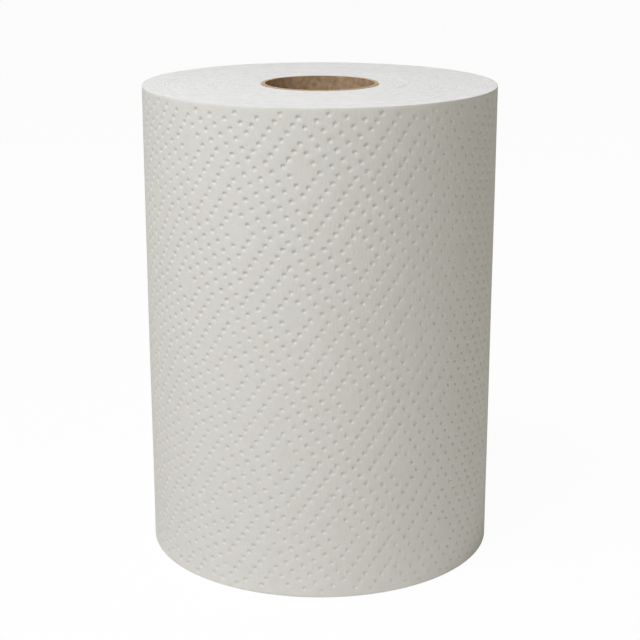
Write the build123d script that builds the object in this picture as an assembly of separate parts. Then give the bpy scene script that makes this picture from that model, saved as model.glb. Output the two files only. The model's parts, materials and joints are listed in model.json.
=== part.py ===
from build123d import *
import math
import os

# A hard-wound paper towel roll: one long web of embossed paper, wound turn on
# turn round a cardboard core, with both ends sawn square in one cut.
#
# Millimetres. +Z runs along the core, and the origin is on the core's axis at
# the lower end, where the roll stands.

# The log of paper
ROLL_WIDTH = 203.2            # the web's width, so the height of the standing roll
ROLL_DIAMETER = 150.8         # across the outermost turn, on average
TAIL_STEP = 0.30              # one embossed sheet, the step where the web's free end lies
TAIL_ANGLE = 112.0            # where that free end lies, in degrees from +X about +Z

# The core
CORE_OUTER_DIAMETER = 50.0
CORE_WALL = 1.6

# The saw cuts paper and core together, so the two end flush.
CORE_LENGTH = ROLL_WIDTH
CORE_OUTER_RADIUS = CORE_OUTER_DIAMETER / 2
CORE_BORE_RADIUS = CORE_OUTER_RADIUS - CORE_WALL

# The first turn is glued down on the core, so the paper's bore is the core's outside.
WEB_BORE_RADIUS = CORE_OUTER_RADIUS

QUARTERS = 4                  # the outermost turn is drawn as this many arcs
QUARTER_TURN = 360.0 / QUARTERS


def direction(angle):
    """The unit vector at an angle, in degrees from +X about +Z."""
    turn = math.radians(angle)
    return Vector(math.cos(turn), math.sin(turn), 0)


def outermost_turn():
    """The edges of a spiral that falls by one sheet in a turn, closed by the sheet's end.

    Each quarter turn is an arc whose radius is a quarter of a sheet less than the
    one before. Its centre moves by the same amount towards the point where the
    two arcs meet, so they share a tangent there. The four centres are the corners
    of a small square round the core's axis. The sheet's lip stands half a sheet
    outside the average turn and its foot half a sheet inside.
    """
    fall = TAIL_STEP / QUARTERS
    radius = ROLL_DIAMETER / 2 + (TAIL_STEP - fall) / 2
    centre = (direction(TAIL_ANGLE) - direction(TAIL_ANGLE + QUARTER_TURN)) * (fall / 2)
    lip = centre + direction(TAIL_ANGLE) * radius

    arcs = []
    for quarter in range(QUARTERS):
        start = TAIL_ANGLE + quarter * QUARTER_TURN
        arcs.append(CenterArc(centre, radius, start, QUARTER_TURN))
        centre = centre + direction(start + QUARTER_TURN) * fall
        radius = radius - fall

    foot = arcs[-1] @ 1
    arcs.append(Line(foot, lip))
    return arcs


def make_towel_web():
    """All the turns of the paper as one solid, from the core's outside to the spiral."""
    outline = make_face(outermost_turn())
    bore = Circle(WEB_BORE_RADIUS)
    return extrude(outline - bore, amount=ROLL_WIDTH, dir=(0, 0, 1))


def make_core_tube():
    """The cardboard tube that the web is wound on."""
    wall = Circle(CORE_OUTER_RADIUS) - Circle(CORE_BORE_RADIUS)
    return extrude(wall, amount=CORE_LENGTH, dir=(0, 0, 1))


os.makedirs("parts", exist_ok=True)
export_step(make_towel_web(), "parts/towel_web.step")
export_step(make_core_tube(), "parts/core_tube.step")
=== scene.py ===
import json
import math

import bpy
import numpy as np
from bpy.props import FloatProperty, FloatVectorProperty, IntProperty, PointerProperty
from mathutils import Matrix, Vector


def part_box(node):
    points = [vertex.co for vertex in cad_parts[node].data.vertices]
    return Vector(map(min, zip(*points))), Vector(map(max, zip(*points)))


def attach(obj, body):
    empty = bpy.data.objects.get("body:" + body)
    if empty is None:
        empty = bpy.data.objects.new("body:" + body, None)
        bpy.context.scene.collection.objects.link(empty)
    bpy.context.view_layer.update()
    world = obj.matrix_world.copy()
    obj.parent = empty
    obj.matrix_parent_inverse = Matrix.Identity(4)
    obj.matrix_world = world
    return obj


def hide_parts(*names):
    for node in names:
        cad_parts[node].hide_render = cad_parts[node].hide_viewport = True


bl_info = {
    "name": "Hard-wound Towel Roll",
    "version": (1, 0, 0),
    "blender": (4, 5, 0),
    "location": "3D View > Sidebar > Towel Roll",
    "description": "Builds a hard-wound roll of embossed paper towel on its cardboard core",
    "category": "Add Mesh",
}

# The packed model gives every overall size. All lengths are in metres.
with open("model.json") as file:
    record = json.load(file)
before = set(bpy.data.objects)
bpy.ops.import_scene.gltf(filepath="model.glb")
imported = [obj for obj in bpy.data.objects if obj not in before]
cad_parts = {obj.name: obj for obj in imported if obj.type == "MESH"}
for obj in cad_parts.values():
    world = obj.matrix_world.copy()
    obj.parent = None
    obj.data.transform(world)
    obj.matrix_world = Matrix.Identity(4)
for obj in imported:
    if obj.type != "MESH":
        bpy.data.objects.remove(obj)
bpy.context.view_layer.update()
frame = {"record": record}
WEB_LOW, WEB_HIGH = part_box("towel_web")
CORE_LOW, CORE_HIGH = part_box("core_tube")
BORE = next(mount for mount in frame["record"]["mounts"] if mount["name"] == "core_bore")

MM = 0.001
FULL_TURN = 2 * math.pi
ROLL_WIDTH = WEB_HIGH.z - WEB_LOW.z
ROLL_RADIUS = (WEB_HIGH.x - WEB_LOW.x) / 2
CORE_RADIUS = (CORE_HIGH.x - CORE_LOW.x) / 2
BORE_RADIUS = BORE["dims"]["r_mm"] * MM
CLEAR = 0.02 * MM            # between a piece and the one round it, so that no faces coincide


def linear(hex_colour):
    """An sRGB colour such as "A0B1C2" as linear red, green, blue and alpha."""
    srgb = np.array([int(hex_colour[i:i + 2], 16) for i in (0, 2, 4)]) / 255
    low = srgb / 12.92
    high = ((srgb + 0.055) / 1.055) ** 2.4
    return (*np.where(srgb <= 0.04045, low, high).tolist(), 1.0)


# ---------------------------------------------------------------------------
# Sizes and colours
# ---------------------------------------------------------------------------


def length(name, description, default):
    """A length property, in metres."""
    return FloatProperty(
        name=name, description=description, default=default, unit="LENGTH", precision=5
    )


def angle(name, description, degrees):
    """An angle property, stated here in degrees."""
    return FloatProperty(
        name=name, description=description, default=math.radians(degrees), subtype="ANGLE"
    )


def colour(name, description, hex_colour):
    """A colour property, stated here as sRGB hex."""
    return FloatVectorProperty(
        name=name, description=description, default=linear(hex_colour), subtype="COLOR", size=4
    )


class TowelSheetSizes(bpy.types.PropertyGroup):
    """The embossed sheet and its outermost turn."""

    sheet: length("Sheet", "Thickness of one embossed sheet", 0.30 * MM)
    bite: length("Bite", "How far the dots press the sheet into the turn below", 0.24 * MM)
    tail_angle: angle("Tail angle", "Where the web's free end lies, from +X about +Z", 112)
    tail_reach: length("Tail reach", "How much of the free end stands off the roll", 9 * MM)
    tail_lift: length("Tail lift", "How far the free end stands off the roll", 0.35 * MM)
    grid: length("Grid", "Spacing of the sheet's grid of points", 1.0 * MM)
    edge_round: length("Edge round", "How far the sawn edge of the sheet rounds over", 0.12 * MM)
    swell: length("Swell", "Height of the roll's soft unevenness", 0.10 * MM)


class EmbossSizes(bpy.types.PropertyGroup):
    """The dots pressed into the sheet, in nested diamonds."""

    rise: angle("Rising rows", "Slope of the rows that rise to the right", 53.8)
    fall: angle("Falling rows", "Slope of the rows that fall to the right", 55.6)
    rise_spacing: length("Rising spacing", "Between diamonds, along a rising row", 5.49 * MM)
    fall_spacing: length("Falling spacing", "Between diamonds, along a falling row", 6.77 * MM)
    centre_angle: angle("Centre angle", "Where one diamond's middle lies, about +Z", -80.7)
    centre_height: length("Centre height", "Height of that diamond's middle", 87.0 * MM)
    dot_radius: length("Dot radius", "From a dot's middle to its rim", 1.25 * MM)
    dot_depth: length("Dot depth", "How deep the deepest dot is", 0.50 * MM)
    unevenness: FloatProperty(
        name="Unevenness", description="Share by which dots are shallower in places", default=0.45
    )


class EndSizes(bpy.types.PropertyGroup):
    """The sawn ends, where the edges of all the turns show."""

    ridge: length("Ridge", "Width of one ridge and its groove, two turns of the web", 0.6 * MM)
    relief: length("Relief", "How deep the grooves between ridges are", 0.11 * MM)
    drawn_in: length("Drawn in", "How far the first turns sink at the core", 0.5 * MM)
    columns: IntProperty(name="Columns", description="Points round one ring", default=240)


class CoreSizes(bpy.types.PropertyGroup):
    """The cardboard core, wound from strips of board on a slant."""

    strip: length("Strip", "Width of the strip of board that the core is wound from", 70 * MM)
    seam_angle: angle("Seam angle", "Where the seam meets the upper end, about +Z", -100)
    seam_depth: length("Seam depth", "Depth of the gap where two turns of the strip meet", 0.2 * MM)
    plies: IntProperty(name="Plies", description="Layers of board in the wall", default=4)
    ply_relief: length("Ply relief", "Height of the layers on the sawn edge", 0.06 * MM)
    columns: IntProperty(name="Columns", description="Points round the core", default=160)
    rows: IntProperty(name="Rows", description="Points along the core", default=100)


class RollColours(bpy.types.PropertyGroup):
    """Colours of the paper and the board."""

    tissue: colour("Tissue", "The sheet's own off-white", "ECEBEA")
    tissue_thin: colour("Thin tissue", "Where fewer fibres lie, a little greyer", "E2E1DB")
    speck: colour("Speck", "Rare fibres of recycled stock", "7B6A55")
    sawn: colour("Sawn edges", "The paper edges on the ends", "EAEAEC")
    # Painted shade: a darker colour that stands for the shade in the grooves between the paper
    # edges.
    painted_groove_shade: colour("Painted groove shade", "Between the paper edges", "D9D9DB")
    kraft: colour("Kraft", "The core board", "C4A78B")
    kraft_dark: colour("Dark kraft", "Darker pulp in the board", "8F765C")
    kraft_fibre: colour("Kraft fibre", "Pale fibres in the board", "C9B092")
    board_cut: colour("Cut board", "The sawn edge of the board", "B5A17E")


# ---------------------------------------------------------------------------
# Meshes from arrays
# ---------------------------------------------------------------------------


def quads_of_grid(rows, columns, close_rows=False, close_columns=False):
    """Corner numbers of the quads of a grid that is numbered row by row.

    Quad (r, c) joins points (r, c), (r, c + 1), (r + 1, c + 1) and (r + 1, c). A closed
    direction joins its last line to its first.
    """
    row = np.arange(rows if close_rows else rows - 1)[:, None]
    column = np.arange(columns if close_columns else columns - 1)[None, :]
    row_after = (row + 1) % rows
    column_after = (column + 1) % columns
    corners = [
        row * columns + column,
        row * columns + column_after,
        row_after * columns + column_after,
        row_after * columns + column,
    ]
    return np.stack(np.broadcast_arrays(*corners), axis=-1).reshape(-1, 4)


def mesh_of(name, points, quads, caps=(), maps=None, cut_quads=None):
    """A smooth mesh from arrays of points and quads, with whole polygons as caps.

    maps holds UV maps by name, each a pair of numbers for every point. cut_quads marks the
    quads that take the second material.
    """
    mesh = bpy.data.meshes.new(name)
    corner_points = np.concatenate([quads.ravel(), *caps]).astype(np.int32)
    totals = np.array([4] * len(quads) + [len(cap) for cap in caps], np.int32)
    starts = np.concatenate([[0], np.cumsum(totals)[:-1]]).astype(np.int32)

    mesh.vertices.add(len(points))
    mesh.vertices.foreach_set("co", points.astype(np.float32).ravel())
    mesh.loops.add(len(corner_points))
    mesh.loops.foreach_set("vertex_index", corner_points)
    mesh.polygons.add(len(totals))
    mesh.polygons.foreach_set("loop_start", starts)
    mesh.polygons.foreach_set("loop_total", totals)
    if cut_quads is not None:
        mesh.polygons.foreach_set("material_index", cut_quads.astype(np.int32))
    mesh.update(calc_edges=True)

    for map_name, pairs in (maps or {}).items():
        layer = mesh.uv_layers.new(name=map_name)
        layer.data.foreach_set("uv", pairs[corner_points].astype(np.float32).ravel())
    mesh.shade_smooth()
    mesh.set_sharp_from_angle(angle=math.radians(50))
    if mesh.validate():
        raise RuntimeError(f"the mesh {name} has bad faces")
    return mesh


def add_piece(mesh, materials, node):
    """Puts a mesh in the scene as a piece that stands for a CAD node."""
    for material in materials:
        mesh.materials.append(material)
    piece = bpy.data.objects.new(mesh.name, mesh)
    bpy.context.scene.collection.objects.link(piece)
    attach(piece, "root")
    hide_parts(node)


def round_the_axis(radius, turn, height):
    """Points at a radius, a turn in radians from +X and a height, as rows of x, y and z."""
    grid = np.broadcast_arrays(radius * np.cos(turn), radius * np.sin(turn), height)
    return np.stack(grid, axis=-1).reshape(-1, 3)


def swell_at(turn, height, size):
    """The roll's soft unevenness: a sum of three slow waves round and along it."""
    waves = (
        np.sin(3 * turn + height / (31 * MM) + 0.4)
        + 0.7 * np.sin(5 * turn - height / (23 * MM) + 2.1)
        + 0.5 * np.sin(9 * turn + height / (14 * MM) + 4.0)
    )
    most = 1 + 0.7 + 0.5
    return size * waves / most


def outermost_radius(share, sheet):
    """Radius of the web's outside at a share of its outermost turn, from the tail's lip.

    It falls evenly by one sheet in the turn, from half a sheet outside the mean radius to
    half a sheet inside it.
    """
    return ROLL_RADIUS + sheet * (0.5 - share)


# ---------------------------------------------------------------------------
# The embossed outermost turn
# ---------------------------------------------------------------------------

RINGS = 3                    # nested diamonds round each bare middle
GAPS = 3                     # gaps between dots on a side of the first ring
PERIOD = (2 * RINGS + 1, 2 * RINGS)   # ring spacings between middles, on each kind of row


def dots_of_one_diamond():
    """Places of one diamond's dots, in ring spacings along the two directions of rows.

    Ring k is the square whose sides lie k from the middle, and each side has 3k even gaps.
    The outermost ring shares its sides on rising rows with the neighbours, so one of the
    two belongs to this diamond.
    """
    sides = []
    for ring in range(1, RINGS + 1):
        along = 2 * ring * np.arange(GAPS * ring) / (GAPS * ring) - ring
        level = np.full(GAPS * ring, float(ring))
        sides += [(along, level), (level, -along), (-level, along)]
        if ring < RINGS:
            sides += [(-along, -level)]
    return np.concatenate([np.stack(side, axis=1) for side in sides])


def emboss_dots(sheet_length, emboss, tail_angle):
    """Centres of all the dots on the unrolled sheet, as rows of distance along and height.

    Middle (i, j) lies at (7i, i + 6j) ring spacings along the rising and the falling rows,
    so each column of diamonds stands one ring lower than the one before.
    """
    reach = math.ceil(sheet_length / (PERIOD[0] * emboss.rise_spacing)) + 2
    column, row = np.meshgrid(np.arange(-reach, reach), np.arange(-2 * reach, 2 * reach))
    column, row = column.ravel(), row.ravel()
    middles = np.stack([PERIOD[0] * column, column + PERIOD[1] * row], axis=1)
    places = (middles[:, None, :] + dots_of_one_diamond()[None, :, :]).reshape(-1, 2)

    rising = emboss.rise_spacing * np.array([math.cos(emboss.rise), math.sin(emboss.rise)])
    falling = emboss.fall_spacing * np.array([math.cos(emboss.fall), -math.sin(emboss.fall)])
    start = (emboss.centre_angle - tail_angle) % FULL_TURN * ROLL_RADIUS
    centres = places[:, :1] * rising + places[:, 1:] * falling
    centres = centres + np.array([start, emboss.centre_height])

    # No dot comes nearer to an edge of the sheet than half its own radius.
    margin = 1.5 * emboss.dot_radius
    inside = (centres > margin).all(axis=1)
    inside &= centres[:, 0] < sheet_length - margin
    inside &= centres[:, 1] < ROLL_WIDTH - margin
    return centres[inside]


def press_dots(along, height, centres, depths, step, emboss):
    """Draws the grid towards the dots, and says how each point lies in its dot.

    The grid point nearest to a dot moves to its centre, and the eight round that point
    move to the dot's rim. The sixteen beyond them follow by a quarter of the way that the
    centre moved. Three grids come back: the depth of the sheet, the way out from a dot's
    middle (0) to its rim (1), and the dot's depth as a share of the deepest.
    """
    depth, share = np.zeros_like(along), np.zeros_like(along)
    way_out = np.ones_like(along)
    column = np.rint(centres[:, 0] / step[0]).astype(int)
    row = 1 + np.rint((centres[:, 1] - height[1, 0]) / step[1]).astype(int)
    moved = np.stack([centres[:, 0] - along[row, column], centres[:, 1] - height[row, column]])

    follow = 0.25
    offsets = [(up, side) for up in range(-2, 3) for side in range(-2, 3)]
    for up, side in offsets:
        if max(abs(up), abs(side)) == 2:
            along[row + up, column + side] += follow * moved[0]
            height[row + up, column + side] += follow * moved[1]
    for up, side in offsets:
        if max(abs(up), abs(side)) == 1:
            turn = math.atan2(up, side)
            along[row + up, column + side] = centres[:, 0] + emboss.dot_radius * math.cos(turn)
            height[row + up, column + side] = centres[:, 1] + emboss.dot_radius * math.sin(turn)
            share[row + up, column + side] = depths / emboss.dot_depth
    along[row, column] = centres[:, 0]
    height[row, column] = centres[:, 1]
    depth[row, column] = depths
    way_out[row, column] = 0
    share[row, column] = depths / emboss.dot_depth
    return depth, way_out, share


def fan_quads(quads, way_out):
    """Turns the quads' corner order so that a diagonal leaves each dot's middle.

    A quad is split between its first and third corners. Where its second or fourth corner
    is a middle, the order is stepped on by one.
    """
    middle = way_out.ravel()[quads] == 0
    turn = middle[:, 1] | middle[:, 3]
    return np.where(turn[:, None], np.roll(quads, -1, axis=1), quads)


def outer_turn_mesh(sizes, emboss):
    """The outermost turn of the web: a sheet of two parameters, along it and up it.

    Its outside is the falling spiral less the depth of the dots. Its inside is one sheet
    further in at the edges, and deeper by the dots' bite between them. The free end
    stands off the roll by a share that falls as the square of the distance from the lip.
    The loop of rows runs up the outside, over the upper edge, down the inside and back,
    and one polygon closes each end of the sheet.
    """
    sheet_length = FULL_TURN * ROLL_RADIUS
    columns = round(sheet_length / sizes.grid) + 1
    edge = sizes.edge_round
    levels = np.linspace(edge, ROLL_WIDTH - edge, round(ROLL_WIDTH / sizes.grid) + 1)
    levels = np.concatenate([[0], levels, [ROLL_WIDTH]])
    step = (sheet_length / (columns - 1), levels[2] - levels[1])

    line = np.linspace(0, sheet_length, columns)
    along, height = (grid.copy() for grid in np.meshgrid(line, levels))
    centres = emboss_dots(sheet_length, emboss, sizes.tail_angle)

    # Dots are shallower in slow, winding patches, and each by a random amount besides.
    random = np.random.default_rng(5)
    winding = 2.2 * np.sin(centres[:, 1] / (37 * MM))
    patches = 0.5 + 0.5 * np.sin(centres[:, 0] / (29 * MM) + winding)
    shallow = 0.5 * patches + 0.5 * random.random(len(centres))
    depths = emboss.dot_depth * (1 - emboss.unevenness * shallow)
    depth, way_out, share = press_dots(along, height, centres, depths, step, emboss)
    depth[[0, -1]] = edge / 2

    # The inside needs few rows: the two edges, and the two where the bite is full, which
    # lie nearer to the edges than any dot.
    inner = [-1, -3, 2, 0]
    along, height = np.concatenate([along, along[inner]]), np.concatenate([height, height[inner]])
    inner_depth = sizes.sheet + sizes.bite * np.array([0, 1, 1, 0])[:, None]
    depth = np.concatenate([depth, np.repeat(inner_depth, columns, axis=1)])
    way_out = np.concatenate([way_out, np.ones((len(inner), columns))])
    share = np.concatenate([share, np.zeros((len(inner), columns))])

    part = along / sheet_length
    turn = sizes.tail_angle + FULL_TURN * part
    loose = np.clip(1 - along / sizes.tail_reach, 0, 1) ** 2
    wavy = 0.7 + 0.3 * np.sin(height / (17 * MM) + 1.0)
    base = outermost_radius(part, sizes.sheet) + swell_at(turn, height, sizes.swell)
    base = base + sizes.tail_lift * loose * wavy
    points = round_the_axis(base - depth, turn, height)

    rows = len(levels) + len(inner)
    quads = fan_quads(quads_of_grid(rows, columns, close_rows=True), way_out)
    lip = np.arange(rows) * columns
    foot = lip[::-1] + columns - 1
    maps = {
        "Sheet": np.stack([along.ravel(), height.ravel()], axis=1),
        "Dots": np.stack([way_out.ravel(), share.ravel()], axis=1),
    }
    return mesh_of("outer_turn", points, quads, caps=[lip, foot], maps=maps)


# ---------------------------------------------------------------------------
# The turns below it, and the sawn ends
# ---------------------------------------------------------------------------


def end_relief(share, turn, ends, seed):
    """How far below the cut the end lies, at a share of the way from core to outside.

    Ridges and grooves take turns, each ridge with its own height, which wanders slowly
    round the roll. The first turns are drawn in where they meet the core.
    """
    random = np.random.default_rng(seed)
    lines = len(share)
    ridge_drop = 0.45 * random.random(lines) ** 2
    groove = np.arange(lines) % 2 * (0.55 + 0.45 * random.random(lines))
    waves = random.integers(1, 4, lines)[:, None]
    wander = 1 + 0.25 * np.sin(waves * turn + 6.0 * share[:, None])
    relief = ends.relief * np.clip((ridge_drop + groove)[:, None] * wander, 0, 1.4)
    from_core = share[:, None] * (ROLL_RADIUS - CORE_RADIUS)
    fade = 0.5 * MM
    return relief + ends.drawn_in * np.exp(-from_core / fade)


def wound_turns_mesh(sizes, ends):
    """All the turns below the outermost: a profile of rings carried round the axis.

    The profile runs out along the lower end and back along the upper one. A ring's radius
    is a share of the way from the core to the inside of the outermost turn. Only the rings
    in the last few millimetres follow the spiral, and the others are circles.
    """
    lines = 4 * round((ROLL_RADIUS - CORE_RADIUS) / ends.ridge / 2) + 1
    share = np.linspace(0, 1, lines)
    turns_share = np.arange(ends.columns) / ends.columns
    turn = sizes.tail_angle + FULL_TURN * turns_share

    mean_outside = ROLL_RADIUS - sizes.sheet - CLEAR
    spiral = outermost_radius(turns_share, sizes.sheet) - sizes.sheet - CLEAR
    spiral_from = 0.92
    near_outside = np.clip((share - spiral_from) / (1 - spiral_from), 0, 1)[:, None]
    circle = CORE_RADIUS + share[:, None] * (mean_outside - CORE_RADIUS)
    radius = circle + near_outside * (spiral - mean_outside)

    lower = end_relief(share, turn, ends, seed=11)
    upper = ROLL_WIDTH - end_relief(share, turn, ends, seed=12)
    # Between the ends, the side sinks to leave room for the dots' bite, at the same heights
    # as the inside of the outermost turn does.
    waist = radius[-1:] - sizes.bite * np.ones((2, 1))
    rim = sizes.edge_round + sizes.grid
    waist_heights = np.array([[rim], [ROLL_WIDTH - rim]]) + np.zeros((2, ends.columns))
    radii = np.concatenate([radius, waist, radius[::-1]])
    heights = np.concatenate([lower, waist_heights, upper[::-1]])
    swell = swell_at(turn, heights, sizes.swell) * radii / ROLL_RADIUS
    points = round_the_axis(radii + swell, turn, heights)
    quads = quads_of_grid(len(radii), ends.columns, close_rows=True, close_columns=True)
    return mesh_of("wound_turns", points, quads)


# ---------------------------------------------------------------------------
# The cardboard core
# ---------------------------------------------------------------------------


def core_tube_mesh(core):
    """The core: a ring-shaped section carried along the axis while it twists with the seam.

    The columns of points turn once in the height that the slanted strip climbs in a turn,
    so one column runs along the seam, where the bore is cut deeper. The sawn edges have
    a small ridge for each ply of board.
    """
    outer_radius = CORE_RADIUS - CLEAR
    girth = FULL_TURN * BORE_RADIUS
    climb = girth * math.tan(math.asin(core.strip / girth))
    column = np.arange(core.columns)
    levels = np.linspace(0, ROLL_WIDTH, core.rows)

    across = np.linspace(0, 1, 4 * core.plies + 1)
    ply = core.ply_relief * (0.5 - 0.5 * np.cos(FULL_TURN * core.plies * across))
    ply = ply + 0.25 * core.ply_relief * np.sin(7.0 * across)
    ply = np.clip(ply, 0, None)[1:-1]
    edge_radius = (outer_radius + (BORE_RADIUS - outer_radius) * across)[1:-1]

    outside = np.full(core.rows, outer_radius)
    bore = np.full(core.rows, BORE_RADIUS)
    radius = np.concatenate([outside, edge_radius, bore, edge_radius[::-1]])
    height = np.concatenate([levels, ROLL_WIDTH - ply, levels[::-1], ply[::-1]])
    upper_edge, lower_edge = np.full(len(ply), ROLL_WIDTH), np.zeros(len(ply))
    level = np.concatenate([levels, upper_edge, levels[::-1], lower_edge])
    in_bore = np.repeat([0.0, 0.0, 1.0, 0.0], [core.rows, len(ply), core.rows, len(ply)])

    seam = np.where(column == 0, core.seam_depth, 0.0)
    twist = (level[:, None] - ROLL_WIDTH) / climb
    turn = core.seam_angle + FULL_TURN * (column / core.columns + twist)
    points = round_the_axis(radius[:, None] + in_bore[:, None] * seam, turn, height[:, None])

    rows = len(radius)
    quads = quads_of_grid(rows, core.columns, close_rows=True, close_columns=True)
    quad_row = np.arange(rows)
    sawn = (quad_row >= core.rows - 1) & (quad_row < core.rows + len(ply))
    sawn |= quad_row >= 2 * core.rows + len(ply) - 1
    return mesh_of("core_board", points, quads, cut_quads=np.repeat(sawn, core.columns))


# ---------------------------------------------------------------------------
# Materials
# ---------------------------------------------------------------------------

MIX_COLOUR_A, MIX_COLOUR_B, MIX_COLOUR_OUT = 6, 7, 2


def add_node(tree, kind, inputs=None, **settings):
    """Adds a node, sets its properties, and fills or links its inputs by name or number."""
    made = tree.nodes.new(kind)
    for key, value in settings.items():
        setattr(made, key, value)
    for key, value in (inputs or {}).items():
        if isinstance(value, bpy.types.NodeSocket):
            tree.links.new(value, made.inputs[key])
        else:
            made.inputs[key].default_value = value
    return made


def new_material(name):
    """An empty material: its node tree and its surface shader."""
    material = bpy.data.materials.new(name)
    material.use_nodes = True
    tree = material.node_tree
    tree.nodes.clear()
    shader = add_node(tree, "ShaderNodeBsdfPrincipled")
    add_node(tree, "ShaderNodeOutputMaterial", {"Surface": shader.outputs["BSDF"]})
    return material, tree, shader


def per(size):
    """How many of a pattern's spacings fit in a metre, which is a texture's scale."""
    return 1 / size


def embossed_tissue(colours):
    """Creped tissue, embossed: loose short fibres, so it is matt, soft and a little cloudy."""
    material, tree, shader = new_material("creped_tissue_embossed")
    place = add_node(tree, "ShaderNodeTexCoord").outputs["Object"]
    sheet = add_node(tree, "ShaderNodeUVMap", uv_map="Sheet").outputs["UV"]

    # Cloudy formation, 5 mm across, where fibres settled thicker and thinner.
    cloud = add_node(
        tree, "ShaderNodeTexNoise", {"Vector": place, "Scale": per(5 * MM), "Detail": 3.0}
    )
    base = add_node(
        tree,
        "ShaderNodeMix",
        {0: cloud.outputs["Fac"], MIX_COLOUR_A: colours.tissue, MIX_COLOUR_B: colours.tissue_thin},
        data_type="RGBA",
    )

    # Rare specks of recycled fibre, up to half a millimetre across, in a few of the cells of
    # a 9 mm pattern.
    cells = add_node(tree, "ShaderNodeTexVoronoi", {"Vector": place, "Scale": per(9 * MM)})
    chosen = add_node(
        tree, "ShaderNodeMath", {0: cells.outputs["Color"], 1: 0.86}, operation="GREATER_THAN"
    )
    small = add_node(
        tree, "ShaderNodeMath", {0: cells.outputs["Distance"], 1: 0.03}, operation="LESS_THAN"
    )
    speck = add_node(
        tree,
        "ShaderNodeMath",
        {0: chosen.outputs["Value"], 1: small.outputs["Value"]},
        operation="MULTIPLY",
    )
    specked = add_node(
        tree,
        "ShaderNodeMix",
        {
            0: speck.outputs["Value"],
            MIX_COLOUR_A: base.outputs[MIX_COLOUR_OUT],
            MIX_COLOUR_B: colours.speck,
        },
        data_type="RGBA",
    )

    # Crepe folds run up the sheet. Real ones are 0.3 mm apart, and they are drawn at 0.8 mm
    # so that they show. Tangled fibres, 0.5 mm and finer, lie over them every way.
    stretched = add_node(
        tree, "ShaderNodeMapping", {"Vector": sheet, "Scale": (per(0.8 * MM), per(4 * MM), 1.0)}
    )
    crepe = add_node(
        tree,
        "ShaderNodeTexNoise",
        {"Vector": stretched.outputs["Vector"], "Scale": 1.0, "Detail": 2.0},
    )
    fibres = add_node(
        tree, "ShaderNodeTexNoise", {"Vector": place, "Scale": per(0.5 * MM), "Detail": 4.0}
    )
    folds = add_node(
        tree,
        "ShaderNodeBump",
        {"Height": crepe.outputs["Fac"], "Strength": 0.8, "Distance": 0.20 * MM},
    )
    fuzz = add_node(
        tree,
        "ShaderNodeBump",
        {
            "Height": fibres.outputs["Fac"],
            "Strength": 0.8,
            "Distance": 0.20 * MM,
            "Normal": folds.outputs["Normal"],
        },
    )

    # Each dot is a soft-walled dimple, rounder than its few faces. "Dots" says how far out
    # from its middle a point lies, and how deep the dot is.
    dots = add_node(tree, "ShaderNodeUVMap", uv_map="Dots").outputs["UV"]
    dot = add_node(tree, "ShaderNodeSeparateXYZ", {"Vector": dots})
    wall = add_node(
        tree,
        "ShaderNodeMapRange",
        {"Value": dot.outputs["X"], "From Min": 0.10, "From Max": 1.0},
        interpolation_type="SMOOTHSTEP",
    )
    floor_of_dot = add_node(
        tree, "ShaderNodeMath", {0: 1.0, 1: wall.outputs["Result"]}, operation="SUBTRACT"
    )
    sunk = add_node(
        tree,
        "ShaderNodeMath",
        {0: floor_of_dot.outputs["Value"], 1: dot.outputs["Y"]},
        operation="MULTIPLY",
    )
    pressed = add_node(
        tree,
        "ShaderNodeBump",
        {
            "Height": sunk.outputs["Value"],
            "Strength": 1.0,
            "Distance": 0.42 * MM,
            "Normal": fuzz.outputs["Normal"],
        },
        invert=True,
    )
    tree.links.new(specked.outputs[MIX_COLOUR_OUT], shader.inputs["Base Color"])
    tree.links.new(pressed.outputs["Normal"], shader.inputs["Normal"])
    shader.inputs["Roughness"].default_value = 0.95
    shader.inputs["Specular IOR Level"].default_value = 0.2
    return material


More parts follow.
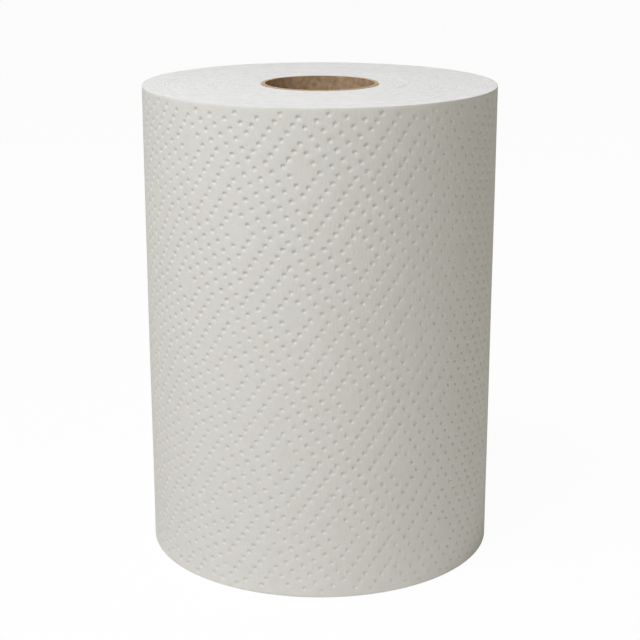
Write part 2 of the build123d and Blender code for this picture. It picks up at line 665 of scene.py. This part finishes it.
def sawn_tissue(colours):
    """Tissue edges, sawn: thousands of paper edges side by side, whiter than the sheet's face."""
    material, tree, shader = new_material("tissue_edges_sawn")
    place = add_node(tree, "ShaderNodeTexCoord").outputs["Object"]

    # The same place as a direction from the axis and a radius, so that a texture can be
    # long round the roll and narrow across its turns.
    flat = add_node(
        tree, "ShaderNodeVectorMath", {0: place, 1: (1.0, 1.0, 0.0)}, operation="MULTIPLY"
    )
    radius = add_node(tree, "ShaderNodeVectorMath", {0: flat.outputs[0]}, operation="LENGTH")
    heading = add_node(tree, "ShaderNodeVectorMath", {0: flat.outputs[0]}, operation="NORMALIZE")
    # Single paper edges are too fine to show, so the streaks are two turns, 0.6 mm, wide; their
    # darker parts are painted shade.
    across = add_node(
        tree,
        "ShaderNodeMath",
        {0: radius.outputs["Value"], 1: per(0.6 * MM)},
        operation="MULTIPLY",
    )
    depth = add_node(tree, "ShaderNodeCombineXYZ", {"Z": across.outputs["Value"]})
    long_way = add_node(
        tree,
        "ShaderNodeVectorMath",
        {0: heading.outputs[0], 1: (9.0, 9.0, 1.0)},
        operation="MULTIPLY",
    )
    wound = add_node(
        tree, "ShaderNodeVectorMath", {0: long_way.outputs[0], 1: depth.outputs[0]}, operation="ADD"
    )
    streaks = add_node(
        tree, "ShaderNodeTexNoise", {"Vector": wound.outputs[0], "Scale": 1.0, "Detail": 3.0}
    )
    lint = add_node(
        tree, "ShaderNodeTexNoise", {"Vector": place, "Scale": per(0.7 * MM), "Detail": 4.0}
    )
    painted_shade_share = add_node(
        tree,
        "ShaderNodeMapRange",
        {"Value": streaks.outputs["Fac"], "From Min": 0.35, "From Max": 0.7},
    )
    # Mixes towards the painted groove shade, a darker colour that stands for shade between the
    # paper edges.
    base = add_node(
        tree,
        "ShaderNodeMix",
        {0: painted_shade_share.outputs["Result"], MIX_COLOUR_A: colours.sawn, MIX_COLOUR_B: colours.painted_groove_shade},
        data_type="RGBA",
    )
    fuzz = add_node(
        tree,
        "ShaderNodeBump",
        {"Height": lint.outputs["Fac"], "Strength": 0.5, "Distance": 0.15 * MM},
    )
    tree.links.new(base.outputs[MIX_COLOUR_OUT], shader.inputs["Base Color"])
    tree.links.new(fuzz.outputs["Normal"], shader.inputs["Normal"])
    shader.inputs["Roughness"].default_value = 1.0
    shader.inputs["Specular IOR Level"].default_value = 0.15
    return material


def kraft_board(name, ground, dark, fibre):
    """Recycled kraft board: brown pulp with darker clots and pale straw fibres, calendered dull."""
    material, tree, shader = new_material(name)
    place = add_node(tree, "ShaderNodeTexCoord").outputs["Object"]
    clots = add_node(
        tree, "ShaderNodeTexNoise", {"Vector": place, "Scale": per(2.5 * MM), "Detail": 5.0}
    )
    clotted = add_node(
        tree,
        "ShaderNodeMapRange",
        {"Value": clots.outputs["Fac"], "From Min": 0.4, "From Max": 0.75},
    )
    pulp = add_node(
        tree,
        "ShaderNodeMix",
        {0: clotted.outputs["Result"], MIX_COLOUR_A: ground, MIX_COLOUR_B: dark},
        data_type="RGBA",
    )

    # Fibres 1.2 mm long, lying round the core, and 0.5 mm wide: wider than real ones, so
    # that they show.
    stretched = add_node(
        tree,
        "ShaderNodeMapping",
        {"Vector": place, "Scale": (per(1.2 * MM), per(1.2 * MM), per(0.5 * MM))},
    )
    straw = add_node(
        tree,
        "ShaderNodeTexNoise",
        {"Vector": stretched.outputs["Vector"], "Scale": 1.0, "Detail": 2.0},
    )
    bright = add_node(
        tree,
        "ShaderNodeMapRange",
        {"Value": straw.outputs["Fac"], "From Min": 0.58, "From Max": 0.72, "To Max": 0.7},
    )
    base = add_node(
        tree,
        "ShaderNodeMix",
        {
            0: bright.outputs["Result"],
            MIX_COLOUR_A: pulp.outputs[MIX_COLOUR_OUT],
            MIX_COLOUR_B: fibre,
        },
        data_type="RGBA",
    )
    rough = add_node(
        tree,
        "ShaderNodeBump",
        {"Height": straw.outputs["Fac"], "Strength": 0.4, "Distance": 0.1 * MM},
    )
    tree.links.new(base.outputs[MIX_COLOUR_OUT], shader.inputs["Base Color"])
    tree.links.new(rough.outputs["Normal"], shader.inputs["Normal"])
    shader.inputs["Roughness"].default_value = 0.85
    shader.inputs["Specular IOR Level"].default_value = 0.3
    return material


# ---------------------------------------------------------------------------
# The stage
# ---------------------------------------------------------------------------


def white_to_the_eye(tree, seen, lit, share):
    """Mixes a plain white emission into a shader for the rays that the eye follows.

    Camera, glossy and transmission rays see the given share of white, and every other ray
    sees the lit shader alone.
    """
    path = add_node(tree, "ShaderNodeLightPath")
    glossy = add_node(
        tree,
        "ShaderNodeMath",
        {0: path.outputs["Is Camera Ray"], 1: path.outputs["Is Glossy Ray"]},
        operation="MAXIMUM",
    )
    eye = add_node(
        tree,
        "ShaderNodeMath",
        {0: glossy.outputs["Value"], 1: path.outputs["Is Transmission Ray"]},
        operation="MAXIMUM",
    )
    factor = add_node(
        tree, "ShaderNodeMath", {0: eye.outputs["Value"], 1: share}, operation="MULTIPLY"
    )
    return add_node(tree, "ShaderNodeMixShader", {0: factor.outputs["Value"], 1: lit, 2: seen})


def make_floor():
    """A wide plain floor at the height that the roll stands on."""
    half = 4.0
    corners = np.array([[-half, -half, 0], [half, -half, 0], [half, half, 0], [-half, half, 0]])
    mesh = mesh_of("floor", corners, np.array([[0, 1, 2, 3]]))
    material = bpy.data.materials.new("matt_white_floor")
    material.use_nodes = True
    tree = material.node_tree
    tree.nodes.clear()
    paint = add_node(tree, "ShaderNodeBsdfDiffuse", {"Color": linear("F0F0F0")})
    white = add_node(tree, "ShaderNodeEmission", {"Color": (1, 1, 1, 1), "Strength": 1.0})
    mixed = white_to_the_eye(tree, white.outputs[0], paint.outputs[0], 0.96)
    add_node(tree, "ShaderNodeOutputMaterial", {"Surface": mixed.outputs[0]})
    mesh.materials.append(material)
    floor = bpy.data.objects.new("floor", mesh)
    bpy.context.scene.collection.objects.link(floor)


def make_world(strength, tint):
    """A white surround to the eye, and a low even light to everything else."""
    world = bpy.data.worlds.new("studio")
    bpy.context.scene.world = world
    world.use_nodes = True
    tree = world.node_tree
    tree.nodes.clear()
    white = add_node(tree, "ShaderNodeBackground", {"Color": (1, 1, 1, 1), "Strength": 1.0})
    low = add_node(tree, "ShaderNodeBackground", {"Color": linear(tint), "Strength": strength})
    mixed = white_to_the_eye(tree, white.outputs[0], low.outputs[0], 1.0)
    add_node(tree, "ShaderNodeOutputWorld", {"Surface": mixed.outputs[0]})


def add_softbox(name, place, aim, size, power, tint):
    """A square area lamp at a place, turned to face a point."""
    lamp = bpy.data.lights.new(name, "AREA")
    lamp.shape = "SQUARE"
    lamp.size = size
    lamp.energy = power
    lamp.color = linear(tint)[:3]
    holder = bpy.data.objects.new(name, lamp)
    bpy.context.scene.collection.objects.link(holder)
    holder.location = place
    holder.rotation_euler = (Vector(aim) - Vector(place)).to_track_quat("-Z", "Y").to_euler()
    holder.visible_camera = False


def make_camera(distance, height, pitch, lens):
    """A camera in front of the roll that looks along +Y and down."""
    camera_data = bpy.data.cameras.new("camera")
    camera_data.lens = lens
    camera_data.sensor_width = 36.0
    camera = bpy.data.objects.new("camera", camera_data)
    bpy.context.scene.collection.objects.link(camera)
    camera.location = (0.0, -distance, height)
    camera.rotation_euler = (math.radians(90.0 - pitch), 0.0, 0.0)
    bpy.context.scene.camera = camera


# ---------------------------------------------------------------------------
# Operators and panel
# ---------------------------------------------------------------------------


class TOWELROLL_OT_outer_turn(bpy.types.Operator):
    """Build the embossed outermost turn of the web"""

    bl_idname = "towel_roll.outer_turn"
    bl_label = "Outer Turn"

    def execute(self, context):
        scene = context.scene
        mesh = outer_turn_mesh(scene.towel_sheet, scene.towel_emboss)
        add_piece(mesh, [embossed_tissue(scene.towel_colours)], "towel_web")
        return {"FINISHED"}


class TOWELROLL_OT_wound_turns(bpy.types.Operator):
    """Build the turns below the outermost one, with the sawn ends"""

    bl_idname = "towel_roll.wound_turns"
    bl_label = "Wound Turns"

    def execute(self, context):
        scene = context.scene
        mesh = wound_turns_mesh(scene.towel_sheet, scene.towel_ends)
        add_piece(mesh, [sawn_tissue(scene.towel_colours)], "towel_web")
        return {"FINISHED"}


class TOWELROLL_OT_core_board(bpy.types.Operator):
    """Build the spirally wound cardboard core"""

    bl_idname = "towel_roll.core_board"
    bl_label = "Core Board"

    def execute(self, context):
        scene = context.scene
        colours = scene.towel_colours
        wall = kraft_board(
            "kraft_board_wall", colours.kraft, colours.kraft_dark, colours.kraft_fibre
        )
        cut = kraft_board("kraft_board_sawn", colours.board_cut, colours.kraft, colours.sawn)
        add_piece(core_tube_mesh(scene.towel_core), [wall, cut], "core_tube")
        return {"FINISHED"}


class TOWELROLL_OT_stage(bpy.types.Operator):
    """Set the floor, the soft lights and the camera round the roll"""

    bl_idname = "towel_roll.stage"
    bl_label = "Stage"

    def execute(self, context):
        middle = (0.0, 0.0, ROLL_WIDTH / 2)
        make_floor()
        make_world(strength=0.26, tint="FFFAE2")
        add_softbox("key_upper_left", (-0.32, -0.40, 1.15), middle, 0.38, 10.0, "FBFCFF")
        add_softbox("low_front", (-0.7, -2.0, 0.10), middle, 1.2, 3.9, "FAFBFF")
        # A long lens, nine radii off and a little above the roll, shows its top as a sliver.
        make_camera(
            distance=8.7776 * ROLL_RADIUS, height=3.8181 * ROLL_RADIUS, pitch=16.0, lens=87.18
        )
        context.scene.view_settings.view_transform = "Standard"
        return {"FINISHED"}


class TOWELROLL_PT_sidebar(bpy.types.Panel):
    """Sizes, colours and the pieces of the roll"""

    bl_idname = "TOWELROLL_PT_sidebar"
    bl_label = "Towel Roll"
    bl_space_type = "VIEW_3D"
    bl_region_type = "UI"
    bl_category = "Towel Roll"

    def draw(self, context):
        for operator in OPERATORS:
            self.layout.operator(operator.bl_idname)
        for name, group in GROUPS.items():
            box = self.layout.box()
            box.label(text=group.__doc__)
            for size in group.__annotations__:
                box.prop(getattr(context.scene, name), size)


GROUPS = {
    "towel_sheet": TowelSheetSizes,
    "towel_emboss": EmbossSizes,
    "towel_ends": EndSizes,
    "towel_core": CoreSizes,
    "towel_colours": RollColours,
}
OPERATORS = (
    TOWELROLL_OT_outer_turn,
    TOWELROLL_OT_wound_turns,
    TOWELROLL_OT_core_board,
    TOWELROLL_OT_stage,
)


def register():
    for name, group in GROUPS.items():
        bpy.utils.register_class(group)
        setattr(bpy.types.Scene, name, PointerProperty(type=group))
    for made in (*OPERATORS, TOWELROLL_PT_sidebar):
        bpy.utils.register_class(made)


def unregister():
    for made in (TOWELROLL_PT_sidebar, *reversed(OPERATORS)):
        bpy.utils.unregister_class(made)
    for name, group in reversed(GROUPS.items()):
        delattr(bpy.types.Scene, name)
        bpy.utils.unregister_class(group)


def main():
    """Registers the classes, and builds every piece and the stage."""
    register()
    bpy.ops.towel_roll.outer_turn()
    bpy.ops.towel_roll.wound_turns()
    bpy.ops.towel_roll.core_board()
    bpy.ops.towel_roll.stage()


if __name__ == "__main__":
    main()
